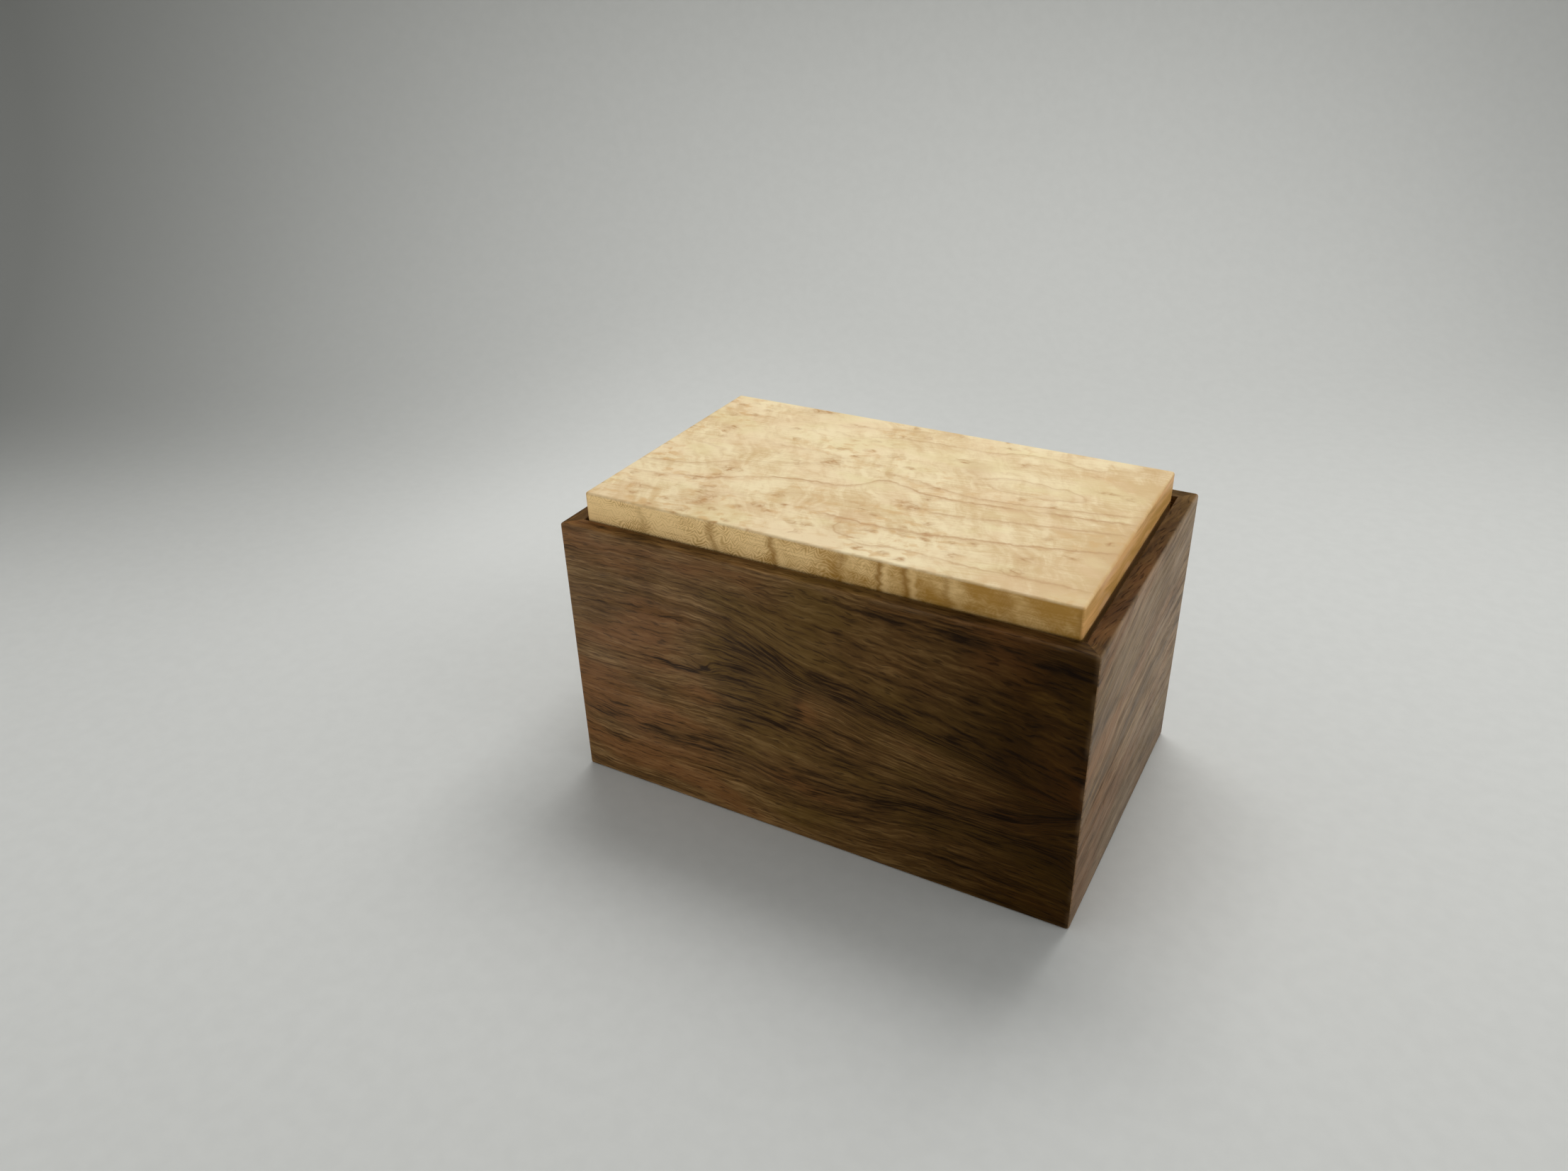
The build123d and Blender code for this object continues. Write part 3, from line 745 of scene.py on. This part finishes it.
def plainMapleMaterial(nodeName, axes, seed):
    g = Graph("plain_maple_" + nodeName, plainMaple, seed)
    spot = g.place()
    along, up, deep = (spot[axis] for axis in axes)
    face = g.join(along, up, deep)
    line = up + plainMaple["sway"] * g.noise(face, "sway") + plainMaple["climb"] * deep
    grain = g.join(along, line, deep)
    ring = line / plainMaple["ringSpacing"] + plainMaple["ringUneven"] * g.noise(grain, "ring")
    ring = ring.sum("FRACT")
    ringLine = g.fade(ring, "ringRise") * g.fade(ring, "ringFall")
    fibre = g.noise(grain, "fibre")
    fleck = g.fade(g.noise(grain, "fleck"), "fleckRange")
    cloud = g.noise(face, "cloud")
    tone = g.total("tone", cloud=cloud, fibre=fibre)
    colour = g.mix(g.step(tone, 0.0, 1.0), plainMaple["pale"], plainMaple["warm"])
    colour = g.mix(g.total("marks", ring=ringLine, fleck=fleck), colour, plainMaple["warm"])
    wear, colour = g.wear(spot, nodeName, cloud, colour)
    rough = g.total("rough", fibre=fibre, wear=wear)
    return g.finish(colour, rough, fibre)


for nodeName, (axes, seed) in plainMaple["pieces"].items():
    paint(nodeName, plainMapleMaterial(nodeName, axes, seed))

# walnut panels inside, seen from above: here up runs to the back
panel = {
    **plainBoard, "axes": "xyz", "drift": 6.0, "span": (-60, 60),
    "levels": [(0, [(-75, -8), (-20, 2), (20, 4), (75, -6)])],
    "bands": [([(-75, -8), (-20, 2), (20, 4), (75, -6)], 3.0, 0.3, throughout)],
    "clouds": [((0, 24), (40, 10), 0.1)],
    "shades": [],
}
for nodeName, seed in (("bottom_panel", 61.0), ("lid_core", 72.5)):
    paint(nodeName, walnutMaterial(nodeName, {**panel, "seed": seed}))
print("inside woods done")

# metals: turned marks run round each bolt, so they change with the distance from the middle of the lid
metals = {  # clean, dull and rubbed colours, and roughness
    "brass": ((0.74, 0.52, 0.21), (0.48, 0.31, 0.11), (0.88, 0.68, 0.34), 0.27),
    "steel": ((0.58, 0.57, 0.55), (0.34, 0.33, 0.32), (0.74, 0.73, 0.71), 0.3),
    "nickel": ((0.66, 0.63, 0.58), (0.45, 0.43, 0.4), (0.8, 0.78, 0.74), 0.22),
}
metalFinish = {
    "noises": {"marks": ((4.0, 0.05, 0.0), 0.0, 3.0, 0.65), "tarnish": ((0.3, 0.3, 0.3), 2.0, 3.0)},
    "dullMarks": 0.3, "dullRange": (0.0, 0.5),
    # rubbed corners: radius, samples, where the surface turns enough, and less where it is dull
    "cornerRadius": 0.35 * mm, "cornerSamples": 4, "cornerRange": (0.99, 0.88),
    "rubbedRange": (0.4, -0.2, 0.4, 1.0),
    "rough": {"tarnish": 0.12, "marks": 0.1, "wear": -0.08}, "fixed": {"Metallic": 1.0}, "bumpDepth": 0.01,
}


def metalMaterial(name):
    clean, dull, bright, rough = metals[name]
    g = Graph(name, metalFinish)
    spot = g.place()
    body = g.join(spot["x"], spot["y"], spot["z"])
    reach = (spot["x"] * spot["x"] + spot["y"] * spot["y"]).sum("SQRT")
    marks = g.noise(g.join(reach, spot["z"]), "marks")
    tarnish = g.noise(body, "tarnish")
    colour = g.mix(g.fade(tarnish + metalFinish["dullMarks"] * marks, "dullRange"), clean, dull)
    # rubbed bright where the surface turns a corner
    flat = g.add("ShaderNodeNewGeometry", out="Normal")
    samples, radius = metalFinish["cornerSamples"], metalFinish["cornerRadius"]
    eased = g.add("ShaderNodeBevel", {"samples": samples}, {"Radius": radius})
    turned = g.add("ShaderNodeVectorMath", {"operation": "DOT_PRODUCT"}, {0: flat, 1: eased}, "Value")
    wear = g.fade(turned, "cornerRange") * g.fade(tarnish, "rubbedRange")
    colour = g.mix(wear, colour, bright)
    rough = rough + g.total("rough", tarnish=tarnish, marks=marks, wear=wear)
    return g.finish(colour, rough, marks)


brass, steel, nickel = (metalMaterial(name) for name in metals)
for nodeName in ("front_bolt", "back_bolt", "left_bolt", "right_bolt"):
    paint(nodeName, steel)
paint("parking_magnets", nickel)
print("metals done")


# geometry nodes with named sizes as inputs
class Tree(Net):
    def __init__(self, name, sizes):
        self.tree = bpy.data.node_groups.new(name, "GeometryNodeTree")
        newSocket = self.tree.interface.new_socket
        newSocket("Geometry", in_out="OUTPUT", socket_type="NodeSocketGeometry")
        kinds = {"Points": "NodeSocketGeometry", "Material": "NodeSocketMaterial"}
        self.ids = {}
        for key in (*kinds, *sizes):
            kind = kinds.get(key, "NodeSocketFloat")
            self.ids[key] = newSocket(key, in_out="INPUT", socket_type=kind).identifier
        self.start = self.tree.nodes.new("NodeGroupInput")

    def __getitem__(self, key):
        return Wire(self, self.start.outputs[key])

    # copies of a shape on the points, turned to the points' own axis
    def close(self, shape):
        axis = self.add("GeometryNodeInputNamedAttribute", {"data_type": "FLOAT_VECTOR"}, {"Name": "axis"})
        turn = self.add("FunctionNodeAlignRotationToVector", {"axis": "Z"}, {"Vector": axis})
        sockets = {"Points": self["Points"], "Instance": shape, "Rotation": turn}
        made = self.add("GeometryNodeInstanceOnPoints", None, sockets)
        made = self.add("GeometryNodeRealizeInstances", None, {"Geometry": made})
        made = self.add("GeometryNodeSetMaterial", None, {"Geometry": made, "Material": self["Material"]})
        self.add("NodeGroupOutput", None, {"Geometry": made})

    # runs the tree on a few points and keeps the result as a plain mesh
    def build(self, name, points, values):
        mesh = bpy.data.meshes.new(name + "_points")
        mesh.from_pydata([place for place, axis in points], [], [])
        axes = mesh.attributes.new("axis", "FLOAT_VECTOR", "POINT")
        for item, (place, axis) in zip(axes.data, points):
            item.vector = axis
        piece = newObject(name, mesh)
        modifier = piece.modifiers.new("made", "NODES")
        modifier.node_group = self.tree
        for key, value in values.items():
            modifier[self.ids[key]] = value
        made = piece.evaluated_get(bpy.context.evaluated_depsgraph_get())
        solid = bpy.data.meshes.new_from_object(made)
        piece.modifiers.remove(modifier)
        piece.data = solid
        return piece


# brass rings with eased lips, for the strikes and the bolt guides: CAD node, body and sizes
rings = {
    "strike_rings": ("strike_bushes", "box", {"Wall": 0.75 * mm, "Length": 5.0 * mm, "Lip": 0.28 * mm}),
    "guide_rings": ("bolt_guides", "lid", {"Wall": 1.85 * mm, "Length": 7.8 * mm, "Lip": 0.35 * mm}),
}
ringDetail = {"sides": 64, "lipSteps": 4}


def ringTree():
    tree = Tree("easedRing", ("Outer Radius", "Wall", "Length", "Lip"))
    sockets = {"Resolution": ringDetail["sides"], "Radius": tree["Outer Radius"] - tree["Wall"] * 0.5}
    path = tree.add("GeometryNodeCurvePrimitiveCircle", None, sockets)
    path = tree.add("GeometryNodeSetCurveNormal", {"mode": "Z_UP"}, {"Curve": path})
    sockets = {"Width": tree["Wall"], "Height": tree["Length"]}
    section = tree.add("GeometryNodeCurvePrimitiveQuadrilateral", None, sockets)
    sockets = {"Curve": section, "Count": ringDetail["lipSteps"], "Radius": tree["Lip"]}
    section = tree.add("GeometryNodeFilletCurve", {"mode": "POLY"}, sockets)
    ring = tree.add("GeometryNodeCurveToMesh", None, {"Curve": path, "Profile Curve": section})
    ring = tree.add("GeometryNodeSetShadeSmooth", None, {"Geometry": ring, "Shade Smooth": True})
    tree.close(ring)
    return tree


easedRing = ringTree()
for name, (nodeName, body, sizes) in rings.items():
    low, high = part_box(nodeName)
    middle = (low + high) / 2
    reach = (high - low) / 2
    points = []
    for axis in (Vector((1, 0, 0)), Vector((-1, 0, 0)), Vector((0, 1, 0)), Vector((0, -1, 0))):
        out = reach.x if axis.x else reach.y
        points.append((middle + axis * (out - sizes["Length"] / 2), axis))
    piece = easedRing.build(name, points, {"Material": brass, "Outer Radius": reach.z, **sizes})
    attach(piece, body)
    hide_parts(nodeName)
print("brass rings done")

# slotted countersunk wood screws that hold the core to the lid
screw = {
    "Head Radius": 3.0 * mm,
    "Head Height": 1.7 * mm,
    "Shank Radius": 1.3 * mm,
    "Slot Width": 0.75 * mm,
    "Slot Depth": 0.8 * mm,
    "Pitch": 1.25 * mm,
    "Thread": 0.22 * mm,
    "Point": 3.0 * mm,
}
screwDetail = {"threaded": 0.72, "headSides": 48, "shankSides": 24, "turnSteps": 20, "crestSides": 3}


def screwTree():
    tree = Tree("slottedScrew", ("Length", *screw))

    def lift(shape, height):
        spot = tree.add("ShaderNodeCombineXYZ", None, {"Z": height})
        return tree.add("GeometryNodeTransform", None, {"Geometry": shape, "Translation": spot})

    radius = tree["Shank Radius"]
    straight = tree["Length"] - tree["Point"]
    sockets = {"Vertices": screwDetail["headSides"], "Radius Top": radius, "Radius Bottom": tree["Head Radius"],
               "Depth": tree["Head Height"]}
    head = tree.add("GeometryNodeMeshCone", None, sockets)
    # the slot's cutter reaches past the head and as far below it as into it
    sockets = {"X": tree["Head Radius"] * 3.0, "Y": tree["Slot Width"], "Z": tree["Slot Depth"] * 2.0}
    slot = tree.add("GeometryNodeMeshCube", None, {"Size": tree.add("ShaderNodeCombineXYZ", None, sockets)})
    head = tree.add("GeometryNodeMeshBoolean", {"operation": "DIFFERENCE"}, {"Mesh 1": head, "Mesh 2": slot})
    sockets = {"Vertices": screwDetail["shankSides"], "Radius": radius, "Depth": straight}
    shank = lift(tree.add("GeometryNodeMeshCylinder", None, sockets), straight * 0.5)
    sockets = {"Vertices": screwDetail["shankSides"], "Radius Top": 0.0, "Radius Bottom": radius,
               "Depth": tree["Point"]}
    tip = lift(tree.add("GeometryNodeMeshCone", None, sockets), straight)
    threaded = straight * screwDetail["threaded"]
    sockets = {"Resolution": screwDetail["turnSteps"], "Rotations": threaded / tree["Pitch"],
               "Start Radius": radius, "End Radius": radius, "Height": threaded}
    thread = tree.add("GeometryNodeCurveSpiral", None, sockets)
    sockets = {"Resolution": screwDetail["crestSides"], "Radius": tree["Thread"]}
    crest = tree.add("GeometryNodeCurvePrimitiveCircle", None, sockets)
    sockets = {"Curve": thread, "Profile Curve": crest, "Fill Caps": True}
    thread = tree.add("GeometryNodeCurveToMesh", None, sockets)
    thread = lift(thread, straight * (1 - screwDetail["threaded"]))
    tree.close(tree.add("GeometryNodeJoinGeometry", None, {"Geometry": [head, shank, tip, thread]}))
    return tree


low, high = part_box("core_screws")
points = []
for x in (low.x + screw["Head Radius"], high.x - screw["Head Radius"]):
    for y in (low.y + screw["Head Radius"], high.y - screw["Head Radius"]):
        points.append((Vector((x, y, low.z)), Vector((0, 0, 1))))
piece = screwTree().build("lid_screws", points, {"Material": steel, "Length": high.z - low.z, **screw})
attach(piece, "lid")
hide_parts("core_screws")
print("screws done")

# camera, from the corners of the box in the picture
camera = {
    "place": (0.12559, -0.27217, 0.22708),
    "aim": (-0.02704, -0.00845, 0.05486),
    "roll": -1.741,
    "lens": 27.595,
    "sensor": 36.0,
    "clip": 0.01,
}
lens = bpy.data.cameras.new("camera")
lens.lens = camera["lens"]
lens.sensor_width = camera["sensor"]
lens.clip_start = camera["clip"]
eye = newObject("camera", lens)
sight = Vector(camera["aim"]) - Vector(camera["place"])
eye.location = camera["place"]
eye.rotation_mode = "QUATERNION"
eye.rotation_quaternion = sight.to_track_quat("-Z", "Y") @ Quaternion((0, 0, 1), math.radians(camera["roll"]))
bpy.context.scene.camera = eye

# paper sweep: a floor that curves up behind the box, square to the camera
sweep = {
    "near": -4.0, "bend": 0.24, "radius": 0.22, "top": 1.4, "half": 4.0, "steps": 24,
    "grey": (0.61, 0.615, 0.594),
    # colour of a painted pool of light on the floor
    "glow": (0.75, 0.755, 0.735),
    # colour of the painted shade on the wall
    "shade": (0.2, 0.203, 0.192),
    "far": (0.96, 0.97, 0.96),
    "rough": 0.9,
    "fixed": {"Specular IOR Level": 0.1},
    "noises": {"grain": ((0.2, 0.2, 0.2), 0.0, 3.0)},
    "grainRange": (-0.5, 0.5),
    "grainDark": 0.97,
    # painted shade on the wall: how dim it is from left to right in mm, and how far back that comes in
    "dim": [(-450, 0.94), (-350, 0.715), (-250, 0.49), (-160, 0.36), (-60, 0.29), (30, 0.255), (120, 0.225),
            (210, 0.205), (305, 0.205), (400, 0.25)],
    "dimRange": (60.0, 330.0),
    # it comes in later behind the box: how much, middle and width
    "later": 110, "laterMiddle": -60, "laterWidth": 120.0,
    # where the painted pool of light lies, in mm to the side and back, its reach and strength
    "glowPlace": (-150, 80), "glowReach": (80, 90), "glowAmount": 0.35,
    "farRange": (0.75, 2.4),  # m from the box
}


def sweepPiece():
    ahead = Vector((sight.x, sight.y, 0)).normalized()
    aside = Vector((ahead.y, -ahead.x, 0))
    outline = [(sweep["near"], 0.0)]
    for index in range(sweep["steps"] + 1):
        turn = math.pi / 2 * index / sweep["steps"]
        far = sweep["bend"] + sweep["radius"] * math.sin(turn)
        outline.append((far, sweep["radius"] * (1 - math.cos(turn))))
    outline.append((sweep["bend"] + sweep["radius"], sweep["top"]))
    shape = bmesh.new()
    rows = []
    for far, height in outline:
        ends = [ahead * far + aside * side + Vector((0, 0, height)) for side in (-sweep["half"], sweep["half"])]
        rows.append([shape.verts.new(end) for end in ends])
    for first, second in zip(rows, rows[1:]):
        shape.faces.new((first[0], first[1], second[1], second[0])).smooth = True
    mesh = bpy.data.meshes.new("sweep")
    shape.to_mesh(mesh)
    shape.free()
    piece = newObject("sweep", mesh)

    g = Graph("sweep_paper", sweep)
    spot = g.place()
    grain = g.noise(g.join(spot["x"], spot["y"], spot["z"]), "grain")
    side = spot["x"] * aside.x + spot["y"] * aside.y
    far = spot["x"] * ahead.x + spot["y"] * ahead.y + spot["z"]
    far = far - sweep["later"] * g.ridge(side - sweep["laterMiddle"], sweep["laterWidth"])
    # painted shade on the wall, darkest on the left
    dim = -g.above(side, 0.0, sweep["dim"]) * g.fade(far, "dimRange")
    darker = tuple(sweep["grainDark"] * part for part in sweep["grey"])
    colour = g.mix(g.fade(grain, "grainRange"), sweep["grey"], darker)
    # a painted pool of light on the floor, behind the box to the left
    glow = g.ridge(g.oval(g.join(side, far), sweep["glowPlace"], sweep["glowReach"]), 1.0)
    colour = g.mix(glow * sweep["glowAmount"], colour, sweep["glow"])
    colour = g.mix(dim, colour, sweep["shade"])
    away = g.oval(g.join(spot["x"], spot["y"]), (0, 0), (1 / mm, 1 / mm))
    colour = g.mix(g.fade(away, "farRange"), colour, sweep["far"])  # runs out into the light of the room
    mesh.materials.append(g.finish(colour, sweep["rough"]))


sweepPiece()

# soft lights: place, aim, size, power, and the width of the beam in degrees
lights = {
    "overhead": ((-0.08, 0.4, 0.72), (0.0, 0.0, 0.05), (0.6, 0.5), 6.65, 180),
    "rightSoft": ((0.8, 0.05, 0.17), (0.05, 0.0, 0.05), (0.5, 0.25), 0.45, 70),
    "leftSoft": ((-0.8, 0.1, 0.5), (-0.05, 0.0, 0.05), (0.5, 0.5), 0.9, 180),
    "frontSoft": ((-0.25, -0.95, 0.34), (0.0, 0.0, 0.05), (0.8, 0.4), 0.95, 180),
    "lowSoft": ((-0.4, -0.4, 0.08), (-0.04, -0.03, 0.06), (0.3, 0.12), 0.115, 80),
}
for name, (place, aim, size, watts, spread) in lights.items():
    lamp = bpy.data.lights.new(name, "AREA")
    lamp.shape = "RECTANGLE"
    lamp.size, lamp.size_y = size
    lamp.energy = watts
    lamp.spread = math.radians(spread)
    stand = newObject(name, lamp)
    stand.location = place
    stand.rotation_mode = "QUATERNION"
    stand.rotation_quaternion = (Vector(aim) - Vector(place)).to_track_quat("-Z", "Y")
room = {"colour": (0.84, 0.85, 0.84, 1.0), "strength": 0.38}
world = bpy.data.worlds.new("room")
world.use_nodes = True
air = world.node_tree.nodes["Background"].inputs
air["Color"].default_value = room["colour"]
air["Strength"].default_value = room["strength"]
bpy.context.scene.world = world
bpy.context.scene.view_settings.view_transform = "Standard"
print("stage done")
